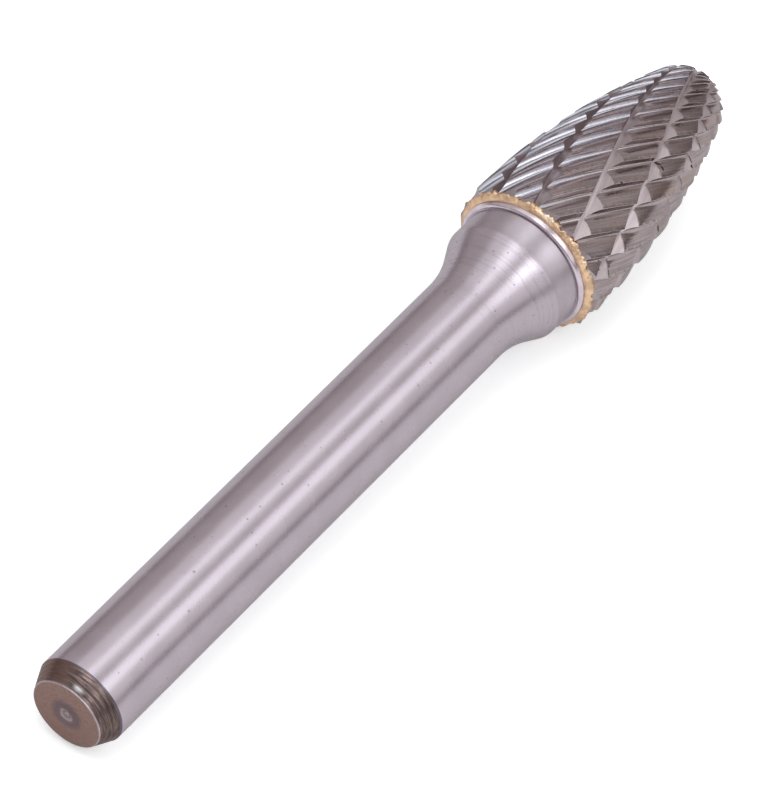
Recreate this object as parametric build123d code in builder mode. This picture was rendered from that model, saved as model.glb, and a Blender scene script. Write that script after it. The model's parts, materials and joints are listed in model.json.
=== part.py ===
from build123d import *
import os
from math import atan2, copysign, cos, degrees, hypot, radians, sin, sqrt, tan

# A solid carbide rotary burr: a turned steel shank brazed to a double-cut, tree-shaped head
# with a round nose. It is modelled upright, with the shank's free end at z = 0, and is laid
# down at the end, because such a burr can't stand.

# ---- shank, mm ----
shank_dia = 6.0
shank_length = 44.75  # from the free end to the back of the carbide
end_flat_dia = 4.8
end_taper_length = 1.35
centre_mark_dia = 0.7
centre_mark_depth = 0.15
neck_angle = 25.9  # half angle of the cone between shank and collar
neck_root_radius = 6.6
collar_dia = 8.34
collar_length = 1.85
collar_edge_radius = 0.5
bead_dia = 9.04
bead_length = 0.55
bead_chamfer = 0.22

# ---- braze ----
braze_thickness = 0.1
braze_climb = 0.18  # how far its fillet climbs the side of the bead

# ---- carbide head ----
cutting_dia = 10.4
head_length = 18.95
nose_radius = 2.8
belly_length = 1.15  # straight part behind the ogive
back_bevel = 0.35

# ---- teeth ----
flute_count = 20
flute_angle = 28.5  # helix angle of the main flutes, right hand
flute_depth = 0.42
flute_phase = 5.95  # where a crest stands, in the plane 5 mm up the head
breaker_count = 10
breaker_angle = 17.3  # helix angle of the chip breakers, left hand
breaker_depth = 0.48
breaker_width = 1.0  # round the head, at the crests
breaker_phase = 12.2
tooth_land = 0.06  # strip of the ground blank left on each crest
rake_share = 0.14  # steep leading face, as a share of one pitch
floor_share = 0.14
end_depth_share = 0.25  # depth that a cut would keep at zero radius
runout_angle = 66.0  # where the cuts end on the nose, measured up from its centre
clear = 0.15  # how far a cutter stands out of the blank

# ---- at rest ----
rest_pitches = 4.8  # turn about its own axis, in flute pitches: it lies between two crests

# ---- what follows from these ----
shank_r = shank_dia / 2
collar_r = collar_dia / 2
bead_r = bead_dia / 2
cut_r = cutting_dia / 2
back_r = cut_r - back_bevel
root_r = cut_r - flute_depth
z_back = shank_length
z_steel = z_back - braze_thickness
z_bead = z_steel - bead_length
z_collar = z_bead - collar_length
z_neck = z_collar - (collar_r - shank_r) / tan(radians(neck_angle))
z_belly = z_back + belly_length
z_tip = z_back + head_length
z_nose = z_tip - nose_radius
z_phase = z_back + 5.0
pitch = 360 / flute_count

# The ogive leaves the belly without a corner and runs tangent into the round nose.
ogive_rise = z_nose - z_belly
ogive_radius = (ogive_rise**2 + cut_r**2 - nose_radius**2) / (2 * (cut_r - nose_radius))
ogive_offset = ogive_radius - cut_r
to_nose = hypot(ogive_offset, ogive_rise)
z_blend = z_belly + ogive_rise / to_nose * ogive_radius
blend_r = ogive_offset / to_nose * ogive_radius - ogive_offset


def radius_at(z):
    """Radius of the ground blank at height z."""
    if z <= z_belly:
        return cut_r
    if z <= z_blend:
        return sqrt(ogive_radius**2 - (z - z_belly) ** 2) - ogive_offset
    return sqrt(nose_radius**2 - (z - z_nose) ** 2)


def turn_at(z, helix_angle, steps=200):
    """Degrees that a helix of constant angle has turned at height z."""
    turn = 0.0
    rise = (z - z_phase) / steps
    for i in range(steps):
        r0 = radius_at(z_phase + i * rise)
        r1 = radius_at(z_phase + (i + 1) * rise)
        along = copysign(hypot(rise, r1 - r0), rise)
        turn += along * tan(radians(helix_angle)) / ((r0 + r1) / 2)
    return degrees(turn)


def depth_share(z):
    """Cuts get shallower as the head gets thinner."""
    return end_depth_share + (1 - end_depth_share) * radius_at(z) / cut_r


def on_circle(radius, angle):
    return (radius * cos(radians(angle)), radius * sin(radians(angle)))


# ---- steel shank: shank, neck, collar and bead are turned in one piece ----
with BuildPart() as shank:
    with BuildSketch(Plane.XZ) as shank_profile:
        with BuildLine():
            Polyline(
                (0, centre_mark_depth),
                (centre_mark_dia / 2, 0),
                (end_flat_dia / 2, 0),
                (shank_r, end_taper_length),
                (shank_r, z_neck),
                (collar_r, z_collar),
                (collar_r, z_bead),
                (bead_r, z_bead),
                (bead_r, z_steel),
                (0, z_steel),
                close=True,
            )
        make_face()
        for corner, radius in (
            ((shank_r, z_neck), neck_root_radius),
            ((collar_r, z_collar), collar_edge_radius),
        ):
            fillet(shank_profile.vertices().sort_by_distance(corner)[0], radius)
        chamfer(shank_profile.vertices().sort_by_distance((bead_r, z_bead))[0], bead_chamfer)
    revolve(axis=Axis.Z)

# ---- braze: a thin disc under the carbide, out to the flutes' floors, with a fillet round the bead ----
with BuildPart() as braze:
    with BuildSketch(Plane.XZ):
        with BuildLine():
            Polyline(
                (bead_r, z_steel - braze_climb),
                (bead_r, z_steel),
                (0, z_steel),
                (0, z_back),
                (root_r, z_back),
                close=True,
            )
        make_face()
    revolve(axis=Axis.Z)

# ---- cutters: each is lofted along its helix, a little wider than the blank ----
stations = [z_back - clear + i * (z_blend - z_back + clear) / 7 for i in range(8)]
stations += [z_nose + nose_radius * sin(radians(a)) for a in (25, 45, runout_angle)]

with BuildPart() as flute_cutter:
    for z in stations:
        r = radius_at(z)
        depth = flute_depth * depth_share(z)
        crest = turn_at(z, flute_angle) + flute_phase
        land = degrees(tooth_land * depth_share(z) / r)
        root = crest + rake_share * pitch
        floor_end = root + floor_share * pitch
        next_crest = crest + pitch - land
        with BuildSketch(Plane.XY.offset(z)):
            with BuildLine():
                Polyline(
                    on_circle(r, crest),
                    on_circle(r - depth, root),
                    on_circle(r - depth, floor_end),
                    on_circle(r, next_crest),
                    on_circle(r + clear, next_crest),
                    on_circle(r + clear, crest),
                    close=True,
                )
            make_face()
    loft()

with BuildPart() as breaker_cutter:
    for z in stations:
        r = radius_at(z)
        depth = breaker_depth * depth_share(z)
        bottom = turn_at(z, -breaker_angle) + breaker_phase
        width = degrees(breaker_width * depth_share(z) / r)
        overshoot = 1 + clear / depth
        with BuildSketch(Plane.XY.offset(z)):
            with BuildLine():
                low = Vector(*on_circle(r - depth, bottom))
                flank = Vector(*on_circle(r, bottom + width)) - low
                Polyline(low, low + flank * overshoot, on_circle(r + clear, bottom - 1), close=True)
            make_face()
    loft()

# ---- carbide head: a ground blank, then the flutes, then the chip breakers across them ----
with BuildPart() as head:
    with BuildSketch(Plane.XZ):
        with BuildLine():
            Polyline(
                (0, z_tip),
                (0, z_back),
                (back_r, z_back),
                (cut_r, z_back + back_bevel),
                (cut_r, z_belly),
            )
            z_mid = (z_belly + z_blend) / 2
            ThreePointArc((cut_r, z_belly), (radius_at(z_mid), z_mid), (blend_r, z_blend))
            z_mid = (z_blend + z_tip) / 2
            ThreePointArc((blend_r, z_blend), (radius_at(z_mid), z_mid), (0, z_tip))
        make_face()
    revolve(axis=Axis.Z)
    with PolarLocations(0, flute_count):
        add(flute_cutter.part, mode=Mode.SUBTRACT)
    with PolarLocations(0, breaker_count):
        add(breaker_cutter.part, mode=Mode.SUBTRACT)

# ---- laid down: it rests on the edge of the shank's end taper and on two neighbouring crests ----
rest_radius = cut_r * cos(radians(pitch / 2))
rest_tilt = degrees(atan2(rest_radius - shank_r, z_belly - end_taper_length))
rest_turn = turn_at(z_back + back_bevel, flute_angle) + flute_phase + rest_pitches * pitch
lying = Rot(0, 90 - rest_tilt, 0) * Rot(0, 0, -rest_turn)
outline = Compound([lying * piece.part for piece in (shank, head)]).bounding_box()
on_floor = Pos(-outline.center().X, -outline.center().Y, -outline.min.Z) * lying
for piece in (shank, braze, head):
    piece.part.locate(on_floor)

os.makedirs("parts", exist_ok=True)
shank.part.label = "steel_shank"
export_step(shank.part, "parts/steel_shank.step")
braze.part.label = "braze_joint"
export_step(braze.part, "parts/braze_joint.step")
head.part.label = "carbide_head"
export_step(head.part, "parts/carbide_head.step")
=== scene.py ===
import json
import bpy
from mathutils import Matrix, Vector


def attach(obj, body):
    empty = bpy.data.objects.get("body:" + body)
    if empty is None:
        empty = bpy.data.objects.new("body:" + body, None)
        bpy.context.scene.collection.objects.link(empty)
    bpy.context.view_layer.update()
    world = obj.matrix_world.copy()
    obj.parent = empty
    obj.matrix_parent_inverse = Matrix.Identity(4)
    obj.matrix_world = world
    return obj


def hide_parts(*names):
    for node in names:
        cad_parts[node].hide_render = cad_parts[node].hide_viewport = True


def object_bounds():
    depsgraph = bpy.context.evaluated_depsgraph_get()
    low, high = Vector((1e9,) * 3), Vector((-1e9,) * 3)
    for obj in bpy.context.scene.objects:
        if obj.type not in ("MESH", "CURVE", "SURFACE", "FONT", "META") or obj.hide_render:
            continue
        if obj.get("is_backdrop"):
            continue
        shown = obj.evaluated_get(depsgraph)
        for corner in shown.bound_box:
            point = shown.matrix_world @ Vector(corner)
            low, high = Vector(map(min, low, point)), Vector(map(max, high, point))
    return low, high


bl_info = {
    "name": "Rotary Burr",
    "version": (1, 0, 0),
    "blender": (4, 5, 0),
    "location": "3D View > Sidebar > Burr",
    "description": "A double-cut carbide burr: turned shank, braze and ground head, on a pale table",
    "category": "Object",
}

from math import asin, atan2, copysign, cos, floor, hypot, pi, radians, sin, sqrt, tan

import bmesh
import bpy
from mathutils import Matrix, Vector, noise

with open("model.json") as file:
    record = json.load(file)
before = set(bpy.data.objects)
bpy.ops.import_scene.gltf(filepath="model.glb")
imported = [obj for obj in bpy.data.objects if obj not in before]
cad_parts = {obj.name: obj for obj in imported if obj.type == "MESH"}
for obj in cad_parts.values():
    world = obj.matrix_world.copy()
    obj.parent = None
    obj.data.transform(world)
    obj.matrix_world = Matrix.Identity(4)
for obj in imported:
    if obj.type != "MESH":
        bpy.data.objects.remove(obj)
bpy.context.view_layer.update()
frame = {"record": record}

MM = 0.001
ORIGIN = (0.0, 0.0, 0.0)
GRIP = frame["record"]["mounts"][0]

# in millimetres
NEAR_AXIS = 0.02  # where a turned profile stops short of the axis
CLEAR = 0.15  # how far the cutters stand out of the blank
PHASE_HEIGHT = 5.0  # above the braze, where the turns of the teeth are given


# ---------------- sizes and colours


def length(name, description, default):
    return bpy.props.FloatProperty(
        name=name, description=description, default=default * MM, unit="LENGTH", precision=5
    )


def angle(name, description, default):
    return bpy.props.FloatProperty(
        name=name, description=description, default=radians(default), subtype="ANGLE", precision=4
    )


def share(name, description, default):
    return bpy.props.FloatProperty(name=name, description=description, default=default, subtype="FACTOR")


def how_many(name, description, default):
    return bpy.props.IntProperty(name=name, description=description, default=default)


def number(name, description, default):
    return bpy.props.FloatProperty(name=name, description=description, default=default)


def colour(name, description, default):
    return bpy.props.FloatVectorProperty(
        name=name, description=description, default=default, subtype="COLOR", size=3, min=0, max=1
    )


class BurrShankSettings(bpy.types.PropertyGroup):
    """The turned steel shank, from its free end to the braze."""

    shank_radius: length("Shank radius", "Radius of the gripped part", GRIP["dims"]["r_mm"])
    steel_length: length("Steel length", "From the free end to the braze", 44.65)
    end_flat_radius: length("End flat radius", "Radius of the flat free end", 2.4)
    end_taper: length("End taper", "Length of the taper at the free end", 1.35)
    end_grooves: how_many("End grooves", "Turned rings on the taper", 4)
    groove_depth: length("Groove depth", "Depth of the turned rings", 0.035)
    centre_radius: length("Centre mark radius", "Radius of the mark in the free end", 0.35)
    centre_depth: length("Centre mark depth", "Depth of the mark in the free end", 0.15)
    neck_angle: angle("Neck angle", "Half angle of the cone behind the collar", 25.9)
    neck_radius: length("Neck root radius", "Radius of the curve from shank to cone", 6.6)
    collar_radius: length("Collar radius", "Radius of the collar", 4.17)
    collar_length: length("Collar length", "Length of the collar", 1.85)
    collar_edge: length("Collar edge", "Rounding of the collar's edge", 0.5)
    bead_radius: length("Bead radius", "Radius of the bead under the head", 4.52)
    bead_length: length("Bead length", "Length of the bead", 0.55)
    bead_edge: length("Bead edge", "Rounding of the bead's edge", 0.24)
    steel: colour("Steel", "Ground steel", (0.43, 0.37, 0.41))
    tint: colour("Heat tint", "Scale left on the free end", (0.27, 0.17, 0.13))


class BurrBrazeSettings(bpy.types.PropertyGroup):
    """The braze between the shank and the head."""

    thickness: length("Thickness", "Of the braze between steel and carbide", 0.1)
    climb: length("Climb", "How far it climbs the bead", 0.18)
    raggedness: length("Raggedness", "How uneven its outer edge is", 0.11)
    alloy: colour("Alloy", "Braze alloy", (0.78, 0.53, 0.35))


class BurrHeadSettings(bpy.types.PropertyGroup):
    """The ground carbide head."""

    cutting_radius: length("Cutting radius", "Radius over the crests", 5.2)
    head_length: length("Head length", "From the braze to the tip", 18.95)
    nose_radius: length("Nose radius", "Radius of the round nose", 2.8)
    belly: length("Belly", "Length of the straight part at the back", 1.15)
    back_bevel: length("Back bevel", "Bevel on the back edge", 0.35)
    flutes: how_many("Flutes", "Main flutes, right hand", 20)
    flute_angle: angle("Flute angle", "Helix angle of the main flutes", 28.5)
    flute_depth: length("Flute depth", "Depth of the main flutes at the back", 0.43)
    flute_phase: angle("Flute phase", "Where a crest stands, 5 mm up the head", 5.95)
    breakers: how_many("Chip breakers", "Cross cuts, left hand", 10)
    breaker_angle: angle("Breaker angle", "Helix angle of the chip breakers", 17.3)
    breaker_depth: length("Breaker depth", "Depth of the chip breakers at the back", 0.48)
    breaker_width: length("Breaker width", "Width of the chip breakers round the head", 1.0)
    breaker_floor: length("Breaker floor", "Narrow flat at the bottom of the chip breakers", 0.17)
    breaker_phase: angle("Breaker phase", "Where a chip breaker stands, 5 mm up the head", 12.2)
    land: length("Land", "Strip of the blank left on each crest", 0.04)
    rake_share: share("Rake share", "Steep face, as a share of one tooth", 0.18)
    floor_share: share("Floor share", "Gullet floor, as a share of one tooth", 0.08)
    end_share: share("End depth share", "Depth that a cut would keep at zero radius", 0.25)
    runout: angle("Run-out", "Where the cuts end on the nose", 66.0)
    carbide: colour("Carbide", "Ground carbide", (0.36, 0.30, 0.31))


class BurrStageSettings(bpy.types.PropertyGroup):
    """The table, the light and the camera."""

    rest_pitches: number("Rest turn", "Turn of the burr at rest, in flute pitches", 4.8)
    lean: angle("Lean", "How far the burr points away from the camera", 33.285)
    picture_turn: angle("Turn in the picture", "Direction of the burr in the picture", 44.682)
    distance: length("Distance", "From the camera to the free end's plane", 351.378)
    start: length("Start", "Free end, along the burr in the picture", -25.471)
    lens: number("Lens", "Focal length in picture heights", 7.7606)
    light_distance: length("Light distance", "From the burr to the softboxes", 600)
    table: colour("Table", "White paper under the burr", (0.8, 0.8, 0.8))
    shift: number("Shift", "Picture shift across the burr, in picture heights", -0.0030615)


def settings(group):
    return getattr(bpy.context.scene, group)


def mm(value):
    """A stored length, in millimetres."""
    return value / MM


# ---------------- the head's curves


class HeadShape:
    """Radii, helices and depths of the head, in millimetres and radians, with the burr upright."""

    def __init__(self):
        head = settings("burr_head")
        self.r = mm(head.cutting_radius)
        self.nose = mm(head.nose_radius)
        self.back = mm(settings("burr_shank").steel_length + settings("burr_braze").thickness)
        self.edge = self.back + mm(head.back_bevel)
        self.belly = self.back + mm(head.belly)
        self.tip = self.back + mm(head.head_length)
        self.nose_z = self.tip - self.nose
        self.phase_z = self.back + PHASE_HEIGHT
        self.end_share = head.end_share
        rise = self.nose_z - self.belly
        self.ogive = (rise**2 + self.r**2 - self.nose**2) / (2 * (self.r - self.nose))
        self.offset = self.ogive - self.r
        self.blend = self.belly + rise / hypot(self.offset, rise) * self.ogive
        self.nose_start = asin((self.blend - self.nose_z) / self.nose)

    def radius(self, z):
        if z <= self.belly:
            return self.r
        if z <= self.blend:
            return sqrt(self.ogive**2 - (z - self.belly) ** 2) - self.offset
        return sqrt(max(self.nose**2 - (z - self.nose_z) ** 2, 0))

    def depth_share(self, z):
        """How much is left at height z of a depth that a cut has at the back."""
        return self.end_share + (1 - self.end_share) * self.radius(z) / self.r

    def turn(self, z, helix, steps=200):
        """Angle that a helix has turned from the phase height to height z."""
        turned = 0.0
        rise = (z - self.phase_z) / steps
        for i in range(steps):
            r0 = self.radius(self.phase_z + i * rise)
            r1 = self.radius(self.phase_z + (i + 1) * rise)
            turned += copysign(hypot(rise, r1 - r0), rise) * tan(helix) / ((r0 + r1) / 2)
        return turned

    def nose_heights(self, end, rows):
        """Heights on the nose, at even angles from its start up to an end angle."""
        angles = [self.nose_start + (end - self.nose_start) * i / rows for i in range(rows + 1)]
        return [self.nose_z + self.nose * sin(a) for a in angles]


def burr_place():
    """Takes the upright burr, in millimetres, to where it lies in the frame, in metres."""
    shank = settings("burr_shank")
    head = settings("burr_head")
    shape = HeadShape()
    along = -Vector(GRIP["axis"])
    to_middle = shank.end_taper + GRIP["dims"]["length_mm"] * MM / 2
    free_end = Vector(GRIP["pos_m"]) - along * to_middle
    pitch = 2 * pi / head.flutes
    turn = shape.turn(shape.edge, head.flute_angle) + head.flute_phase
    turn += settings("burr_stage").rest_pitches * pitch
    tilt = atan2(along.z, along.x)
    lying = Matrix.Rotation(pi / 2 - tilt, 4, "Y") @ Matrix.Rotation(-turn, 4, "Z")
    return Matrix.Translation(free_end) @ lying @ Matrix.Scale(MM, 4)


# ---------------- modelling helpers


def deselect():
    if bpy.context.object and bpy.context.object.mode != "OBJECT":
        bpy.ops.object.mode_set(mode="OBJECT")
    bpy.ops.object.select_all(action="DESELECT")


def pick(piece):
    deselect()
    piece.select_set(True)
    bpy.context.view_layer.objects.active = piece


def turned(name, profile, sides):
    """A round solid: a disc, extruded and resized along a profile of (height, radius)."""
    deselect()
    z, r = profile[0]
    bpy.ops.mesh.primitive_circle_add(vertices=sides, radius=r, fill_type="NOTHING", location=(0, 0, z))
    piece = bpy.context.object
    piece.name = name
    bpy.ops.object.transform_apply(location=True)
    bpy.ops.object.mode_set(mode="EDIT")
    bpy.ops.mesh.select_all(action="SELECT")
    bpy.ops.mesh.edge_face_add()
    bpy.ops.mesh.select_all(action="SELECT")
    for z1, r1 in profile[1:]:
        bpy.ops.mesh.extrude_region_move(TRANSFORM_OT_translate={"value": (0, 0, z1 - z)})
        bpy.ops.transform.resize(value=(r1 / r, r1 / r, 1), center_override=(0, 0, z1))
        z, r = z1, r1
    bpy.ops.mesh.select_all(action="SELECT")
    bpy.ops.mesh.normals_make_consistent(inside=False)
    bpy.ops.object.mode_set(mode="OBJECT")
    return piece


def cut_away(piece, cutter):
    """Takes the cutter's volume away and removes the cutter."""
    pick(piece)
    cut = piece.modifiers.new("Cut", "BOOLEAN")
    cut.operation = "DIFFERENCE"
    cut.solver = "MANIFOLD"
    cut.object = cutter
    bpy.ops.object.modifier_apply(modifier=cut.name)
    bpy.data.objects.remove(cutter)


def round_the_axis(piece, count):
    """Repeats a cutter evenly about the burr's axis, in one mesh."""
    deselect()
    bpy.ops.object.empty_add(location=ORIGIN, rotation=(0, 0, 2 * pi / count))
    step = bpy.context.object
    pick(piece)
    copies = piece.modifiers.new("Copies", "ARRAY")
    copies.count = count
    copies.use_relative_offset = False
    copies.use_object_offset = True
    copies.offset_object = step
    bpy.ops.object.modifier_apply(modifier=copies.name)
    bpy.data.objects.remove(step)


def finish_piece(piece, smooth_angle, slot, *nodes):
    """Shades the piece, lays it down with its place in its mesh, and puts it on the burr."""
    pick(piece)
    bpy.ops.object.shade_smooth_by_angle(angle=smooth_angle)
    piece.data.transform(burr_place())
    piece.data.update()
    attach(piece, "root")
    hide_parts(*nodes)


# ---------------- shank


def arc_points(centre, radius, start, end, steps):
    """Points of (height, radius) on an arc; the angles are measured from straight out."""
    cz, cr = centre
    points = []
    for i in range(steps + 1):
        a = start + (end - start) * i / steps
        points.append((cz + radius * sin(a), cr + radius * cos(a)))
    return points


# the foot between collar and bead: below the bead, out from the collar
FOOT = ((0.03, 0.0), (0.01, 0.008), (0.0, 0.03))


def shank_heights():
    """Where the collar starts, where the bead starts and where the steel ends."""
    shank = settings("burr_shank")
    end = mm(shank.steel_length)
    bead = end - mm(shank.bead_length)
    return bead - mm(shank.collar_length), bead, end


def shank_profile():
    """The lathe profile from the centre mark out, up the shank and in again at the braze."""
    shank = settings("burr_shank")
    r, flat, taper = mm(shank.shank_radius), mm(shank.end_flat_radius), mm(shank.end_taper)
    mark, lip_depth, lip_share = mm(shank.centre_radius), 0.03, 0.85
    rim = 0.05
    lean = atan2(r - flat, taper)
    points = [(mm(shank.centre_depth), NEAR_AXIS), (lip_depth, mark * lip_share), (0.0, mark)]
    points += [(0.0, flat * 0.5), (0.0, flat - rim)]
    points += arc_points((rim, flat - rim), rim, -pi / 2, -lean, 6)[1:]
    # turned rings on the taper
    z0, r0 = points[-1]
    rings, rows_per_ring = shank.end_grooves, 6
    rows = rings * rows_per_ring - 2
    for i in range(1, rows):
        t = i / rows
        groove = mm(shank.groove_depth) * (0.5 - 0.5 * cos(2 * pi * rings * t))
        points.append((z0 + (taper - z0) * t, r0 + (r - r0) * t - groove))
    # a small step up to the straight shank
    step, step_length = 0.004, 0.03
    points += [(taper, r - step), (taper + step_length, r)]
    # neck
    collar_r, bead_r = mm(shank.collar_radius), mm(shank.bead_radius)
    z_collar, z_bead, z_steel = shank_heights()
    z_neck = z_collar - (collar_r - r) / tan(shank.neck_angle)
    root = mm(shank.neck_radius)
    reach = root * tan(shank.neck_angle / 2)
    start, rows = taper + step_length, 13
    points += [(start + (z_neck - reach - start) * i / rows, r) for i in range(1, rows)]
    points += arc_points((z_neck - reach, r + root), root, pi, pi - shank.neck_angle, 24)
    # collar
    edge = mm(shank.collar_edge)
    reach = edge * tan(shank.neck_angle / 2)
    points += arc_points((z_collar + reach, collar_r - edge), edge, -shank.neck_angle, 0, 10)
    points += [(z_bead - below, collar_r + out) for below, out in FOOT]
    # bead, and the end under the braze
    round_off, chamfer, halfway = mm(shank.bead_edge), 0.1, 1.0
    points += arc_points((z_bead + round_off, bead_r - round_off), round_off, -pi / 2, 0, 14)
    points += [(z_steel - chamfer, bead_r), (z_steel, bead_r - chamfer)]
    points += [(z_steel, halfway), (z_steel, NEAR_AXIS)]
    return points


class OBJECT_OT_burr_shank(bpy.types.Operator):
    """Turns the steel shank with its neck, collar and bead"""

    bl_idname = "object.burr_shank"
    bl_label = "Burr Shank"

    def execute(self, context):
        piece = turned("turned_shank", shank_profile(), 224)
        ground, tinted, collar, polished = range(4)
        for finish in (ground_steel(), tinted_steel(), collar_steel(), polished_steel()):
            piece.data.materials.append(finish)
        z_collar, z_bead = shank_heights()[:2]
        taper = mm(context.scene.burr_shank.end_taper)
        # where each finish starts, going up from the tinted free end
        starts = ((taper, ground), (z_collar, collar), (z_bead - FOOT[0][0], ground), (z_bead, polished))
        for face in piece.data.polygons:
            face.material_index = tinted
            for start, kind in starts:
                if face.center.z > start:
                    face.material_index = kind
        finish_piece(piece, radians(30), "shank_steel", "steel_shank")
        return {"FINISHED"}


# ---------------- head


def helix_cutter(name, outline, helix, phase, heights, shape):
    """A cutter whose section, given by outline(height), is extruded up the head along a helix.

    Each extrusion comes out in its own order, so a vertex is matched to its point of the section
    by where it stood before the move.
    """
    deselect()
    count = len(outline(heights[0]))
    bpy.ops.mesh.primitive_circle_add(vertices=count, radius=1, fill_type="NGON", location=ORIGIN)
    piece = bpy.context.object
    piece.name = name
    bpy.ops.object.mode_set(mode="EDIT")
    mesh = bmesh.from_edit_mesh(piece.data)
    mesh.verts.ensure_lookup_table()
    ring = sorted(mesh.verts, key=lambda v: v.index)
    order = {tuple(v.co.xy): i for i, v in enumerate(ring)}
    for station, z in enumerate(heights):
        if station:
            bpy.ops.mesh.extrude_region_move(TRANSFORM_OT_translate={"value": (0, 0, 1.0)})
            mesh = bmesh.from_edit_mesh(piece.data)
            ring = [v for v in mesh.verts if v.select]
        turn = shape.turn(z, helix) + phase
        points = [(r * cos(turn + a), r * sin(turn + a), z) for a, r in outline(z)]
        placed = {v: points[order[tuple(v.co.xy)]] for v in ring}
        order = {}
        for v, point in placed.items():
            v.co = point
            order[tuple(v.co.xy)] = points.index(point)
        bmesh.update_edit_mesh(piece.data)
        bpy.ops.mesh.select_mode(type="VERT")
        bpy.ops.mesh.select_mode(type="FACE")
    bpy.ops.mesh.select_all(action="SELECT")
    bpy.ops.mesh.normals_make_consistent(inside=False)
    bpy.ops.object.mode_set(mode="OBJECT")
    return piece


# rake face and gullet: share of the rake's width, share of the depth
RAKE = (
    (0.0, 0.0), (0.04, 0.22), (0.10, 0.37), (0.20, 0.53), (0.33, 0.68),
    (0.50, 0.82), (0.67, 0.925), (0.79, 0.975), (0.89, 0.992), (1.0, 1.0),
)


def flute_outline(z):
    """Section of a main flute at height z, as (angle from the crest, radius), in radians and mm."""
    head, shape = settings("burr_head"), HeadShape()
    r = shape.radius(z)
    depth = mm(head.flute_depth) * shape.depth_share(z)
    pitch = 2 * pi / head.flutes
    last = pitch - mm(head.land) * shape.depth_share(z) / r
    rake = head.rake_share * pitch
    floor_end = rake + head.floor_share * pitch
    points = [(rake * x, r - depth * y) for x, y in RAKE]
    # the tooth's back, from the gullet floor up to the next crest
    rows, start_depth, curve = 8, 0.985, 1.12
    for i in range(rows + 1):
        t = i / rows
        points.append((floor_end + (last - floor_end) * t, r - depth * start_depth * (1 - t) ** curve))
    points += [(last, r + CLEAR), (0.0, r + CLEAR)]
    return points


def breaker_outline(z):
    """Section of a chip breaker at height z, as (angle from its bottom, radius)."""
    head, shape = settings("burr_head"), HeadShape()
    r = shape.radius(z)
    depth = mm(head.breaker_depth) * shape.depth_share(z)
    width = mm(head.breaker_width) * shape.depth_share(z) / r
    over = 1 + CLEAR / depth
    strip = mm(head.breaker_floor) / r
    points = [(0.0, r - depth)]
    # the sloping side, flat; the other side stands almost straight out
    low = Vector(((r - depth) * cos(strip), (r - depth) * sin(strip)))
    top = Vector((r * cos(width), r * sin(width)))
    rows, steep_side = 6, radians(-1)
    for i in range(rows + 1):
        p = low.lerp(top, over * i / rows)
        points.append((atan2(p.y, p.x), p.length))
    points.append((steep_side, r + CLEAR))
    return points


def lay_grinding(piece, shape, helices):
    """UV maps along each finish's own helix: in millimetres, and as a share of one tooth."""
    head = settings("burr_head")
    pitch = 2 * pi / head.flutes
    rows, start = 160, shape.back - 1
    step = (shape.tip - start) / rows
    tables = [[shape.turn(start + step * i, helix, 60) for i in range(rows + 1)] for helix in helices]
    mesh = piece.data
    for old in list(mesh.uv_layers):
        mesh.uv_layers.remove(old)
    mesh.uv_layers.new(name="grinding")
    mesh.uv_layers.new(name="tooth")
    in_mm, in_shares = mesh.uv_layers["grinding"], mesh.uv_layers["tooth"]
    for face in mesh.polygons:
        table = tables[face.material_index]
        place = []
        for vertex in face.vertices:
            x, y, z = mesh.vertices[vertex].co
            level = min(max((z - start) / step, 0), rows - 0.001)
            i = int(level)
            place.append((atan2(y, x) - table[i] - (table[i + 1] - table[i]) * (level - i), z))
        # keeps a face that crosses the half turn in one piece
        first = place[0][0]
        place = [(first + (turn - first + pi) % (2 * pi) - pi, z) for turn, z in place]
        middle = sum(turn for turn, z in place) / len(place)
        tooth = floor((middle - head.flute_phase) / pitch)
        for loop, (turn, z) in zip(face.loop_indices, place):
            in_mm.data[loop].uv = (turn * shape.r, z)
            in_shares.data[loop].uv = ((turn - head.flute_phase) / pitch - tooth, z)


# the head's finishes, in the order in which they are added to the piece
BLANK, FLUTE, BREAKER, BROKEN = range(4)

# chips in the teeth, in mm and degrees: height above the braze, turn, half length, half width,
# lean from the burr's axis; the first two make one hooked chip
CHIPS = (
    (9.16, -69.8, 0.28, 0.10, 125),
    (9.20, -64.8, 0.38, 0.10, 58),
    (7.40, -22.0, 0.60, 0.11, 66),
    (1.07, -45.6, 0.50, 0.08, 71),
    (5.5, -81.6, 0.10, 0.08, 20),
    (15.96, -90.0, 0.11, 0.09, 40),
    (11.9, -40.0, 0.14, 0.09, 80),
)


def chip_out(piece, height, turn, half_length, half_width, lean):
    """Takes a narrow chip out of whatever face lies there."""
    out = Vector((cos(turn), sin(turn), 0))
    well_outside = 9
    bpy.context.view_layer.update()
    hit, place, *_ = piece.ray_cast(out * well_outside + Vector((0, 0, height)), -out)
    if not hit:
        raise RuntimeError(f"no tooth to chip at height {height}")
    side = out.cross(Vector((0, 0, -1)))
    run = Vector((0, 0, cos(lean))) + side * sin(lean)
    across = out.cross(run)
    deselect()
    bpy.ops.mesh.primitive_ico_sphere_add(subdivisions=2, radius=1, location=place)
    cutter = bpy.context.object
    cutter.scale = (half_width, half_width, half_length)
    cutter.rotation_euler = Matrix((out, across, run)).transposed().to_euler()
    bpy.ops.object.transform_apply(location=False)
    cutter.data.materials.append(piece.data.materials[BROKEN])
    for face in cutter.data.polygons:
        face.material_index = BROKEN
    cut_away(piece, cutter)


def blank_profile(shape):
    """The lathe profile of the blank, from the middle of its back to the tip."""
    bevel, halfway = mm(settings("burr_head").back_bevel), 3.0
    profile = [(shape.back, NEAR_AXIS), (shape.back, halfway), (shape.back, shape.r - bevel)]
    profile.append((shape.edge, shape.r))
    rows, nose_rows, nose_end = 60, 24, radians(89.5)
    heights = [shape.edge + (shape.blend - shape.edge) * i / rows for i in range(1, rows)]
    heights += shape.nose_heights(nose_end, nose_rows)
    return profile + [(z, shape.radius(z)) for z in heights]


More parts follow.
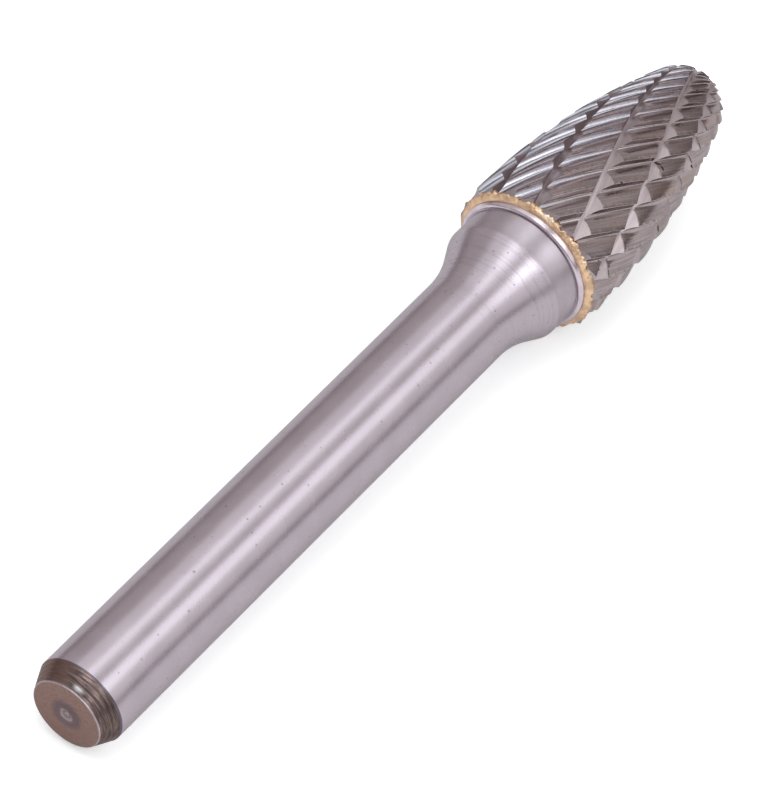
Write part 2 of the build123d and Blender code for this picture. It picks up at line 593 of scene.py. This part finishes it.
def cutter_heights(shape):
    """Heights of the cutters' sections, from below the back to where the cuts run out."""
    rows, nose_rows = 54, 12
    heights = [shape.back - CLEAR]
    heights += [shape.back + (shape.blend - shape.back) * i / rows for i in range(rows + 1)]
    return heights + shape.nose_heights(settings("burr_head").runout, nose_rows)[1:]


class OBJECT_OT_burr_head(bpy.types.Operator):
    """Turns the carbide blank and grinds its flutes and chip breakers"""

    bl_idname = "object.burr_head"
    bl_label = "Burr Head"

    def execute(self, context):
        head = context.scene.burr_head
        shape = HeadShape()
        piece = turned("fluted_head", blank_profile(shape), 240)
        heights = cutter_heights(shape)
        finishes = (blank_carbide(), ground_carbide(), cross_ground_carbide(), broken_carbide_in_painted_shade())
        flutes = helix_cutter("flutes", flute_outline, head.flute_angle, head.flute_phase, heights, shape)
        round_the_axis(flutes, head.flutes)
        left_hand = -head.breaker_angle
        breakers = helix_cutter("breakers", breaker_outline, left_hand, head.breaker_phase, heights, shape)
        round_the_axis(breakers, head.breakers)
        for kind, part in ((BLANK, piece), (FLUTE, flutes), (BREAKER, breakers)):
            for finish in finishes:
                part.data.materials.append(finish)
            for face in part.data.polygons:
                face.material_index = kind
        cut_away(piece, flutes)
        cut_away(piece, breakers)
        for height, turn, half_length, half_width, lean in CHIPS:
            chip_out(piece, shape.back + height, radians(turn), half_length, half_width, radians(lean))
        lay_grinding(piece, shape, (0.0, head.flute_angle, left_hand, 0.0))
        finish_piece(piece, radians(28), "ground_carbide", "carbide_head")
        return {"FINISHED"}


# ---------------- braze


# the rim that runs out over the ends of the teeth: above the head's back, out from the flat's edge
BRAZE_RIM = ((-0.04, 0.06), (0.03, 0.08), (0.11, 0.07), (0.2, 0.03), (0.3, -0.04), (0.34, -0.2))
# lumps round the rim: how close together, how high
SWELLS = ((1.1, 1.0), (2.9, 0.8), (6.5, 0.5))


def make_ragged(piece, inner, outer, raggedness):
    """Swells and thins the ring outside a radius, more the further out, by lumps and fine grain."""
    lump_radius, fine_scale, fine_share, lift = 4.9, 5.0, 0.9, 0.4
    start = inner + 0.01
    for vertex in piece.data.vertices:
        x, y, z = vertex.co
        r = hypot(x, y)
        if r < start:
            continue
        around = Vector((x / r, y / r, 0)) * lump_radius
        swell = sum(height * noise.noise(around * closeness) for closeness, height in SWELLS)
        fine = noise.noise(Vector((x, y, z)) * fine_scale)
        outward = (r - inner) / (outer - inner)
        grow = raggedness * (swell + fine_share * fine) * outward
        vertex.co = (x * (1 + grow / r), y * (1 + grow / r), z + lift * grow * outward)


class OBJECT_OT_burr_braze(bpy.types.Operator):
    """Runs the braze round the bead, out to the ends of the teeth"""

    bl_idname = "object.burr_braze"
    bl_label = "Burr Braze"

    def execute(self, context):
        braze = context.scene.burr_braze
        shape = HeadShape()
        bead_r = mm(context.scene.burr_shank.bead_radius)
        steel = mm(context.scene.burr_shank.steel_length)
        inset, lip, hidden = 0.02, 0.05, 4.0
        outer = shape.r - mm(context.scene.burr_head.back_bevel) - inset
        low = steel - mm(braze.climb)
        # from inside the joint, just under the bead's surface, to a lip that stands proud of it
        profile = [(steel, hidden), (steel, bead_r - 0.03), (low, bead_r - 0.01)]
        profile.append((low + inset, bead_r + lip))
        # a hollow curve out to the ends of the teeth
        rows, curve = 6, 1.6
        for i in range(1, rows + 1):
            t = i / rows
            rise = (steel - inset - low) * t**curve
            profile.append((low + inset + rise, bead_r + lip + (outer - bead_r - lip) * t))
        profile += [(shape.back + up, outer + out) for up, out in BRAZE_RIM]
        profile.append((shape.back, hidden))
        piece = turned("braze_ring", profile, 420)
        make_ragged(piece, bead_r, outer, mm(braze.raggedness))
        piece.data.materials.append(braze_alloy())
        finish_piece(piece, radians(40), "braze_alloy", "braze_joint")
        return {"FINISHED"}


# ---------------- finishes


def feed(tree, socket, value):
    """Gives a socket a plain value or the output of another node."""
    if isinstance(value, bpy.types.NodeSocket):
        tree.links.new(value, socket)
    else:
        socket.default_value = value


def add_node(tree, kind, inputs=None):
    """A new shader node, with some of its inputs given by name or number."""
    node = tree.nodes.new(f"ShaderNode{kind}")
    for name, value in (inputs or {}).items():
        feed(tree, node.inputs[name], value)
    return node


def math_node(tree, operation, *values):
    node = add_node(tree, "Math", dict(enumerate(values)))
    node.operation = operation
    return node.outputs[0]


def new_finish(name, base, metallic, roughness=0.5):
    finish = bpy.data.materials.new(name)
    finish.use_nodes = True
    shader = finish.node_tree.nodes["Principled BSDF"]
    shader.inputs["Base Color"].default_value = (*base, 1)
    shader.inputs["Metallic"].default_value = metallic
    shader.inputs["Roughness"].default_value = roughness
    return finish


class Finish:
    """A metal finish whose patterns are laid out on the upright burr, in millimetres."""

    def __init__(self, name, base):
        self.material = new_finish(name, base, 1)
        self.own_tone = base
        self.tree = self.material.node_tree
        self.shader = self.tree.nodes["Principled BSDF"]
        # at grazing angles: a grey level, and a share of the metal's own colour
        grey, own = 0.58, 0.3
        self.shader.inputs["Specular Tint"].default_value = rgb([grey + own * c for c in base])
        coordinates = self.node("TexCoord")
        place = burr_place()
        turn = place.to_3x3().normalized().transposed()
        stand_up = {
            "Vector": coordinates.outputs["Object"],
            "Scale": [1 / MM] * 3,
            "Rotation": turn.to_euler(),
            "Location": -(turn @ place.translation) / MM,
        }
        self.upright = self.node("Mapping", stand_up).outputs["Vector"]
        self.uv = coordinates.outputs["UV"]

    def node(self, kind, inputs=None):
        return add_node(self.tree, kind, inputs)

    def math(self, operation, *values):
        return math_node(self.tree, operation, *values)

    def times(self, first, second):
        return self.math("MULTIPLY", first, second)

    def shade(self, level):
        """The metal's own colour, times a level."""
        return rgb(self.own_tone, level)

    def stretched(self, stretch, uv=False):
        """Where a pattern is laid: on the upright burr or along the teeth, stretched."""
        vector = self.uv if uv else self.upright
        return self.node("Mapping", {"Vector": vector, "Scale": stretch}).outputs["Vector"]

    def noise(self, scale, detail=2.0, roughness=0.5, stretch=(1, 1, 1), uv=False):
        inputs = {"Scale": scale, "Detail": detail, "Roughness": roughness}
        inputs["Vector"] = self.stretched(stretch, uv)
        return self.node("TexNoise", inputs).outputs["Fac"]

    def specks(self, scale, size, share, stretch=(1, 1, 1)):
        """One on small spots, in a given share of the cells of a Voronoi pattern."""
        cells = self.node("TexVoronoi", {"Vector": self.stretched(stretch), "Scale": scale})
        drawn = self.node("SeparateColor", {"Color": cells.outputs["Color"]}).outputs
        width = self.times(drawn["Green"], size)
        near = self.fade(cells.outputs["Distance"], width, 0.0)
        return self.times(self.math("LESS_THAN", drawn["Red"], share), near)

    def fade(self, value, start, end):
        """Smoothly from 0 at start to 1 at end."""
        node = self.node("MapRange", {"Value": value, "From Min": start, "From Max": end})
        node.interpolation_type = "SMOOTHSTEP"
        return node.outputs["Result"]

    def between(self, value, low, high):
        """Takes a value of 0 to 1 to the range low to high."""
        return self.math("MULTIPLY_ADD", value, high - low, low)

    def mix(self, share, first, second, blend="MIX"):
        node = self.node("Mix")
        node.data_type = "RGBA"
        node.blend_type = blend
        for name, value in (("Factor", share), ("A", first), ("B", second)):
            feed(self.tree, node.inputs[name], value)
        return node.outputs["Result"]

    def laid(self, tone, over, where, strength):
        """Lays one tone over another, at the given strength where the pattern is one."""
        return self.mix(self.times(where, strength), tone, over)

    def ramp(self, value, stops):
        """Tones along a value, as (position, tone)."""
        node = self.node("ValToRGB", {"Fac": value})
        elements = node.color_ramp.elements
        for element, (position, tone) in zip(elements, (stops[0], stops[-1])):
            element.position = position
            element.color = rgb(tone)
        for position, tone in stops[1:-1]:
            elements.new(position).color = rgb(tone)
        return node.outputs["Color"]

    def axes(self):
        """Radius, turn in radians and height of the upright burr."""
        x, y, z = self.node("SeparateXYZ", {"Vector": self.upright}).outputs
        squares = self.math("ADD", self.times(x, x), self.times(y, y))
        return self.math("SQRT", squares), self.math("ARCTAN2", y, x), z

    def bump(self, height, depth):
        """Bump with a depth in millimetres, on top of any bump made before."""
        node = self.node("Bump", {"Strength": 1.0, "Distance": depth * MM, "Height": height})
        normal = self.shader.inputs["Normal"]
        for link in normal.links:
            feed(self.tree, node.inputs["Normal"], link.from_socket)
        feed(self.tree, normal, node.outputs["Normal"])

    def base(self, tone):
        feed(self.tree, self.shader.inputs["Base Color"], tone)

    def rough(self, value):
        feed(self.tree, self.shader.inputs["Roughness"], value)


def rgb(tone, level=1.0):
    return (*[c * level for c in tone], 1)


def beside(f, turn, degrees_round):
    """Cosine of the angle to a side of the upright burr."""
    return f.math("COSINE", f.math("SUBTRACT", turn, radians(degrees_round)))


def spot(f, turn, height, degrees_round, spread, level, rise):
    """One at a turn and a height on the upright burr, fading to zero round it."""
    aside = f.math("ABSOLUTE", f.math("SUBTRACT", turn, radians(degrees_round)))
    above = f.math("ABSOLUTE", f.math("SUBTRACT", height, level))
    return f.times(f.fade(aside, radians(spread), 0.0), f.fade(above, rise, 0.0))


# the free end: tones from the centre of its face outwards, and from thick to thin scale on its taper
FACE_TONES = (
    (0.0, (0.46, 0.39, 0.38)), (0.08, (0.25, 0.19, 0.20)), (0.15, (0.42, 0.35, 0.36)),
    (0.2, (0.20, 0.14, 0.155)), (0.34, (0.19, 0.135, 0.15)), (0.48, (0.30, 0.192, 0.17)),
    (1.0, (0.295, 0.195, 0.172)),
)
TAPER_TONES = (
    (0.30, (0.052, 0.040, 0.044)), (0.45, (0.10, 0.073, 0.074)), (0.56, (0.15, 0.106, 0.10)),
    (0.66, (0.20, 0.145, 0.13)), (0.80, (0.29, 0.24, 0.23)),
)
BLUE_SCALE = rgb((0.17, 0.17, 0.24))
# a browner, lighter tone for the left side of the taper
LEFT_SIDE_BROWN = rgb((0.205, 0.125, 0.108))
# painted highlights on the free end's taper: a pinkish sheen and a bluish-white glint
PAINTED_SHEEN_TONE = rgb((0.62, 0.45, 0.42))
PAINTED_GLINT = rgb((0.95, 0.95, 1.0))
COLLAR_STAIN = rgb((0.46, 0.36, 0.26))
CLEAN_CARBIDE = rgb((0.36, 0.295, 0.29))
# painted bluish reflection of the lamps on the carbide
PAINTED_BLUE_REFLECTION = rgb((0.29, 0.285, 0.32))
SHADED_CARBIDE = rgb((0.10, 0.09, 0.105))
BROWN_FILM = rgb((0.345, 0.25, 0.212))
# painted light: a lighter factor for the side of the head facing the lamps
PAINTED_LIGHT_SIDE = rgb((1.28, 1.28, 1.28))
PALE_BRAZE = rgb((0.82, 0.575, 0.385))
DARK_BRAZE = rgb((0.34, 0.19, 0.10))
# painted highlight on the braze
PAINTED_BRAZE_HIGHLIGHT = rgb((0.98, 0.84, 0.66))
FLUX = rgb((0.22, 0.11, 0.05))


def ground_steel():
    """Centreless-ground steel: faint rings of grinding, pits and hair lines, and more dust on the neck."""
    f = Finish("ground_steel", settings("burr_shank").steel)
    height = f.axes()[2]
    neck_low, neck_high = 36.0, 40.5
    neck = f.fade(height, neck_low, neck_high)
    rings = f.noise(1.0, 2.0, 0.6, (0.7, 0.7, 5))
    turning = f.times(f.noise(1.0, 1.0, 0.5, (0.25, 0.25, 6.5)), neck)
    grain = f.noise(6.0, 3.0, 0.6)
    cloud = f.noise(0.45, 2.0)
    pits = f.specks(1.4, 0.20, 0.12)
    dust = f.specks(2.8, 0.36, f.between(neck, 0.22, 0.75))
    lines = f.specks(0.7, 0.12, 0.10, (1, 0.3, 3.2))
    marks = f.math("MAXIMUM", pits, f.math("MAXIMUM", f.times(dust, 0.8), lines))
    tone = f.mix(f.fade(cloud, 0.35, 0.7), f.shade(0.98), f.shade(1.05))
    tone = f.laid(tone, f.shade(0.7), grain, 0.12)
    tone = f.laid(tone, f.shade(0.62), f.fade(turning, 0.5, 0.62), 0.2)
    f.base(f.laid(tone, f.shade(0.28), marks, 0.6))
    f.rough(f.math("ADD", f.between(cloud, 0.24, 0.30), f.times(marks, 0.15)))
    f.bump(rings, 0.0022)
    f.bump(turning, 0.022)
    f.bump(grain, 0.0022)
    return f.material


def tinted_steel():
    """The free end: turned rings under dark heat scale, browner on the face, with painted highlights on
    the taper and on the face's rim.
    """
    shank = settings("burr_shank")
    flat, taper = mm(shank.end_flat_radius), mm(shank.end_taper)
    f = Finish("tinted_steel", shank.tint)
    radius, turn, height = f.axes()
    cloud = f.noise(1.1, 3.0)
    fine = f.noise(7.0, 2.0)
    streaks = f.noise(1.0, 3.0, 0.6, (0.9, 0.9, 9))
    outward = f.math("DIVIDE", f.math("ADD", radius, f.between(cloud, -0.2, 0.2)), flat + 0.1)
    face = f.ramp(outward, FACE_TONES)
    band = f.ramp(f.math("ADD", streaks, f.between(cloud, -0.12, 0.12)), TAPER_TONES)
    top = f.fade(f.math("ADD", height, f.between(cloud, -0.1, 0.1)), taper - 0.2, taper + 0.01)
    band = f.laid(band, BLUE_SCALE, top, 0.7)
    # painted highlights where the lamps reflect on the taper: a pinkish sheen broken up by the streaks,
    # and a small bluish-white glint
    painted_sheen = f.times(spot(f, turn, height, -103, 18, 1.0, 0.42), f.fade(streaks, 0.36, 0.6))
    band = f.laid(band, PAINTED_SHEEN_TONE, painted_sheen, 0.75)
    band = f.laid(band, PAINTED_GLINT, spot(f, turn, height, -102, 12, 0.32, 0.17), 0.62)
    # browner and lighter towards the left side of the taper
    left = f.fade(turn, radians(-112), radians(-135))
    band = f.laid(band, LEFT_SIDE_BROWN, left, 0.6)
    on_band = f.times(f.fade(height, 0.0, 0.05), f.fade(radius, flat / 2, flat * 0.75))
    tone = f.mix(on_band, face, band)
    # painted highlight along the rounded rim of the face, in a lighter steel tone
    rim = f.times(f.fade(radius, flat - 0.08, flat - 0.04), f.fade(height, 0.10, 0.05))
    tone = f.laid(tone, rgb(shank.steel, 1.15), rim, 0.85)
    blotch = f.fade(f.noise(3.4, 3.0, 0.65), 0.42, 0.66)
    tone = f.laid(tone, f.shade(0.45), blotch, 0.2)
    f.base(f.laid(tone, f.shade(0.3), fine, 0.18))
    f.rough(f.between(on_band, 0.5, 0.32))
    f.bump(f.noise(3.0, 3.0, 0.6, (0.6, 0.6, 5)), 0.012)
    f.bump(fine, 0.006)
    return f.material


def collar_steel():
    """The collar: duller, blasted clean after brazing, with a faint stain."""
    f = Finish("collar_steel", settings("burr_shank").steel)
    cloud = f.noise(0.9, 3.0)
    grain = f.noise(11.0, 2.0, 0.6)
    stain = f.fade(f.noise(0.55, 1.0), 0.62, 0.8)
    tone = f.mix(f.fade(cloud, 0.3, 0.75), f.shade(0.94), f.shade(1.08))
    tone = f.laid(tone, COLLAR_STAIN, stain, 0.5)
    f.base(f.laid(tone, f.shade(0.5), grain, 0.16))
    f.rough(f.between(cloud, 0.29, 0.38))
    f.bump(f.noise(1.0, 2.0, 0.6, (1, 1, 5)), 0.003)
    f.bump(grain, 0.0022)
    return f.material


def polished_steel():
    """The bead: smooth and bright."""
    f = Finish("polished_steel", settings("burr_shank").steel)
    cloud = f.noise(1.4, 2.0)
    f.base(f.mix(f.fade(cloud, 0.3, 0.7), f.shade(1.25), f.shade(1.5)))
    f.rough(f.between(cloud, 0.15, 0.27))
    f.bump(cloud, 0.01)
    return f.material


def grinding(f, across, along, depth):
    """Fine lines of the grinding wheel, along the cut."""
    lines = f.noise(1.0, 4.0, 0.65, (across, along, 1), uv=True)
    f.bump(lines, depth)
    return lines


def ground_carbide():
    """The flutes: clean rake faces, brown film on the backs, worn crests and lines along the cut.

    The tone also changes round the burr, as painted light: painted shade, then a painted bluish
    reflection, then painted lighter tones.
    """
    head = settings("burr_head")
    rake = head.rake_share
    gullet = rake + head.floor_share
    f = Finish("ground_carbide", head.carbide)
    tooth = f.node("UVMap")
    tooth.uv_map = "tooth"
    across = f.node("SeparateXYZ", {"Vector": tooth.outputs["UV"]}).outputs["X"]
    turn = f.axes()[1]
    lines = grinding(f, 5, 0.2, 0.012)
    streaks = f.noise(1.0, 2.0, 0.5, (2.2, 0.12, 1), uv=True)
    tone = f.mix(f.fade(lines, 0.38, 0.62), f.shade(0.76), f.shade(1.14))
    # the rake faces' own tone, with a painted bluish reflection of the lamps on the side of the head near
    # turn -160 degrees
    clean = f.mix(f.fade(beside(f, turn, -160), 0.30, 0.82), CLEAN_CARBIDE, PAINTED_BLUE_REFLECTION)
    tone = f.laid(tone, clean, f.fade(across, rake + 0.06, rake - 0.02), 0.8)
    brown = f.times(f.fade(streaks, 0.42, 0.62), f.fade(across, gullet + 0.01, gullet + 0.1))
    tone = f.laid(tone, BROWN_FILM, brown, 0.5)
    worn = f.times(f.fade(across, 0.72, 0.95), f.fade(f.noise(3.5, 2.0), 0.42, 0.6))
    tone = f.laid(tone, f.shade(0.3), worn, 0.5)
    # painted light: lighter on the side of the head that faces the lamps
    tone = f.mix(f.fade(beside(f, turn, -128), 0.85, 0.99), tone, PAINTED_LIGHT_SIDE, "MULTIPLY")
    tone = f.laid(tone, SHADED_CARBIDE, f.fade(beside(f, turn, -178), 0.86, 0.97), 0.6)
    grain = f.fade(f.noise(9.0, 3.0, 0.7), 0.48, 0.66)
    tone = f.laid(tone, f.shade(0.35), grain, 0.3)
    f.base(f.laid(tone, f.shade(2.2), f.specks(2.6, 0.2, 0.06), 0.8))
    f.rough(f.between(f.noise(0.8, 3.0), 0.10, 0.18))
    return f.material


def cross_ground_carbide():
    """The chip breakers' faces: a little lighter and duller."""
    f = Finish("cross_ground_carbide", settings("burr_head").carbide)
    lines = grinding(f, 4, 0.3, 0.004)
    f.base(f.mix(f.fade(lines, 0.3, 0.7), f.shade(0.98), f.shade(1.16)))
    f.rough(f.between(f.noise(0.8, 3.0), 0.30, 0.38))
    return f.material


def broken_carbide_in_painted_shade():
    """Inside the chips: rough broken carbide, painted dark as shade in the hollows."""
    return new_finish("broken_carbide_in_painted_shade", (0.07, 0.055, 0.05), 1, 0.6)


def blank_carbide():
    """What is left of the blank: the crests' lands, the back face and the tip."""
    f = Finish("blank_carbide", settings("burr_head").carbide)
    cloud = f.noise(2.0, 3.0)
    f.base(f.mix(cloud, f.shade(0.9), f.shade(1.15)))
    f.rough(f.between(cloud, 0.25, 0.4))
    f.bump(f.noise(8.0), 0.003)
    return f.material


def braze_alloy():
    """Silver braze: pale gold, run and frozen in small lumps, darker where it meets the teeth, with a
    painted highlight on one side.
    """
    f = Finish("braze_alloy", settings("burr_braze").alloy)
    steel_end = shank_heights()[2]
    cloud = f.noise(1.6, 3.0)
    lumps = f.noise(3.2, 2.0)
    turn, height = f.axes()[1:]
    tone = f.mix(f.fade(cloud, 0.35, 0.7), f.shade(0.76), PALE_BRAZE)
    wavy = f.math("ADD", height, f.between(lumps, -0.25, 0.25))
    tone = f.laid(tone, DARK_BRAZE, f.fade(wavy, steel_end + 0.07, steel_end + 0.25), 0.7)
    # painted highlight where the lamps reflect on the braze
    tone = f.laid(tone, PAINTED_BRAZE_HIGHLIGHT, spot(f, turn, height, -102, 10, steel_end + 0.05, 0.45), 0.6)
    f.base(f.laid(tone, FLUX, f.specks(3.0, 0.3, 0.18), 0.7))
    f.rough(f.between(cloud, 0.26, 0.44))
    f.bump(lumps, 0.05)
    f.bump(f.noise(9.0), 0.02)
    return f.material


# ---------------- table, light and camera


# soft lights parallel to the burr: turn and spread about its axis in degrees, place along it and
# length in light distances, brightness
SOFTBOXES = {
    "left_wide": (-126, 60, 0.1, 1.5, 0.55),
    "left_narrow": (-117, 15, 0.1, 1.5, 0.98),
    "right_wide": (-60, 52, 0.1, 1.5, 0.5),
    "right_narrow": (-74.5, 24, 0.1, 1.5, 1.1),
    "left_near": (-116, 24, -0.4, 0.6, 0.65),
    "right_near": (-79, 18, -0.4, 0.6, 1.5),
}
LAMP_TINT = (0.91, 1.0, 1.02)

HORIZON = rgb((0.25, 0.21, 0.205))
OVERHEAD = rgb((0.68, 0.655, 0.65))
WHITE = rgb((1, 1, 1))


def add_softbox(name, turn, spread, along, run, brightness):
    """A soft light above the burr and parallel to it, at a turn about the burr's axis."""
    upright = burr_place().to_3x3().normalized()
    burr_x, burr_y, axis = upright.col
    low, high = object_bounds()
    middle = (low + high) / 2
    reach = settings("burr_stage").light_distance
    away = cos(turn) * burr_x + sin(turn) * burr_y
    place = middle + away * reach + axis * reach * along
    deselect()
    bpy.ops.object.light_add(type="AREA", location=place)
    lamp = bpy.context.object
    lamp.name = name
    lamp.rotation_euler = Matrix((axis, away.cross(axis), away)).transposed().to_euler()
    lamp.data.shape = "RECTANGLE"
    lamp.data.size = reach * run
    lamp.data.size_y = reach * spread
    lamp.data.energy = pi * lamp.data.size * lamp.data.size_y * brightness
    lamp.data.color = LAMP_TINT


def any_ray(tree, *rays):
    """One for rays of any of the kinds named."""
    path = add_node(tree, "LightPath").outputs
    total = path[rays[0]]
    for ray in rays[1:]:
        total = math_node(tree, "MAXIMUM", total, path[ray])
    return total


def studio_world():
    """A plain pale room: dim at the horizon, white where it is looked at."""
    world = bpy.data.worlds.new("studio")
    world.use_nodes = True
    tree = world.node_tree
    direction = add_node(tree, "TexCoord").outputs["Generated"]
    height = add_node(tree, "SeparateXYZ", {"Vector": direction}).outputs["Z"]
    ramp = add_node(tree, "ValToRGB", {"Fac": height})
    for element, position, tone in zip(ramp.color_ramp.elements, (0.0, 0.3), (HORIZON, OVERHEAD)):
        element.position = position
        element.color = tone
    room = tree.nodes["Background"]
    feed(tree, room.inputs["Color"], ramp.outputs["Color"])
    sight = add_node(tree, "Background", {"Color": WHITE})
    in_sight = any_ray(tree, "Is Camera Ray", "Is Transmission Ray")
    mix = add_node(tree, "MixShader", {0: in_sight, 1: room.outputs[0], 2: sight.outputs[0]})
    feed(tree, tree.nodes["World Output"].inputs["Surface"], mix.outputs[0])
    return world


def table_finish():
    """White paper: plain white where it is looked at, a little darker in the burr's shadow."""
    finish = new_finish("pale_table", settings("burr_stage").table, 0, 0.8)
    tree = finish.node_tree
    glow_in_sight, glow_in_metal = 0.42, 0.14
    in_sight = any_ray(tree, "Is Camera Ray", "Is Transmission Ray")
    in_metal = any_ray(tree, "Is Glossy Ray")
    level = math_node(tree, "MULTIPLY", in_sight, glow_in_sight)
    level = math_node(tree, "MULTIPLY_ADD", in_metal, glow_in_metal, level)
    glow = add_node(tree, "Emission", {"Color": WHITE, "Strength": level})
    paper = tree.nodes["Principled BSDF"]
    both = add_node(tree, "AddShader", {0: paper.outputs[0], 1: glow.outputs[0]})
    feed(tree, tree.nodes["Material Output"].inputs["Surface"], both.outputs[0])
    return finish


def camera_place():
    """The camera's matrix: where it stands to see the burr leaning away from it."""
    stage = settings("burr_stage")
    turn, lean = stage.picture_turn, stage.lean
    along = Vector((cos(turn), sin(turn), 0))
    across = Vector((sin(turn), -cos(turn), 0))
    away = Vector((0, 0, -1))
    axis_z = along * cos(lean) + away * sin(lean)
    axis_y = -along * sin(lean) + away * cos(lean)
    free_end = along * mm(stage.start) + away * mm(stage.distance)
    burr = Matrix.Identity(4)
    for column, vector in enumerate((across, axis_y, axis_z, free_end)):
        burr.col[column].xyz = vector
    upright = burr_place() @ Matrix.Scale(1 / MM, 4)
    burr.translation *= MM
    return upright @ burr.inverted()


class SCENE_OT_burr_stage(bpy.types.Operator):
    """Adds the pale table, the soft light and the camera"""

    bl_idname = "scene.burr_stage"
    bl_label = "Burr Stage"

    def execute(self, context):
        stage = context.scene.burr_stage
        # in metres, apart from the sensor, which is in millimetres
        table_size, near, far, sensor = 6, 0.01, 20, 36
        deselect()
        bpy.ops.mesh.primitive_plane_add(size=table_size, location=ORIGIN)
        table = context.object
        table.name = "table"
        table.data.materials.append(table_finish())
        table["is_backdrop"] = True

        for name, (turn, spread, along, run, brightness) in SOFTBOXES.items():
            add_softbox(name, radians(turn), radians(spread), along, run, brightness)
        context.scene.world = studio_world()

        deselect()
        bpy.ops.object.camera_add()
        camera = context.object
        camera.matrix_world = camera_place()
        lens = camera.data
        lens.sensor_width = sensor
        lens.sensor_height = sensor
        lens.lens = sensor * stage.lens
        lens.shift_x = -stage.shift * sin(stage.picture_turn)
        lens.shift_y = stage.shift * cos(stage.picture_turn)
        lens.clip_start = near
        lens.clip_end = far
        context.scene.camera = camera
        context.scene.view_settings.view_transform = "Standard"
        return {"FINISHED"}


class VIEW3D_PT_burr(bpy.types.Panel):
    """Lists the burr's pieces and their sizes"""

    bl_idname = "VIEW3D_PT_burr"
    bl_label = "Rotary Burr"
    bl_space_type = "VIEW_3D"
    bl_region_type = "UI"
    bl_category = "Burr"

    def draw(self, context):
        for name, group, operator in SECTIONS:
            box = self.layout.box()
            box.operator(operator.bl_idname)
            for size in group.__annotations__:
                box.prop(getattr(context.scene, name), size)


# each section of the panel: where its sizes are kept, their group and the operator that uses them
SECTIONS = (
    ("burr_shank", BurrShankSettings, OBJECT_OT_burr_shank),
    ("burr_head", BurrHeadSettings, OBJECT_OT_burr_head),
    ("burr_braze", BurrBrazeSettings, OBJECT_OT_burr_braze),
    ("burr_stage", BurrStageSettings, SCENE_OT_burr_stage),
)


def register():
    for name, group, operator in SECTIONS:
        bpy.utils.register_class(group)
        setattr(bpy.types.Scene, name, bpy.props.PointerProperty(type=group))
        bpy.utils.register_class(operator)
    bpy.utils.register_class(VIEW3D_PT_burr)


def unregister():
    bpy.utils.unregister_class(VIEW3D_PT_burr)
    for name, group, operator in reversed(SECTIONS):
        bpy.utils.unregister_class(operator)
        delattr(bpy.types.Scene, name)
        bpy.utils.unregister_class(group)


def main():
    register()
    bpy.ops.object.burr_shank()
    bpy.ops.object.burr_head()
    bpy.ops.object.burr_braze()
    bpy.ops.scene.burr_stage()


if __name__ == "__main__":
    main()
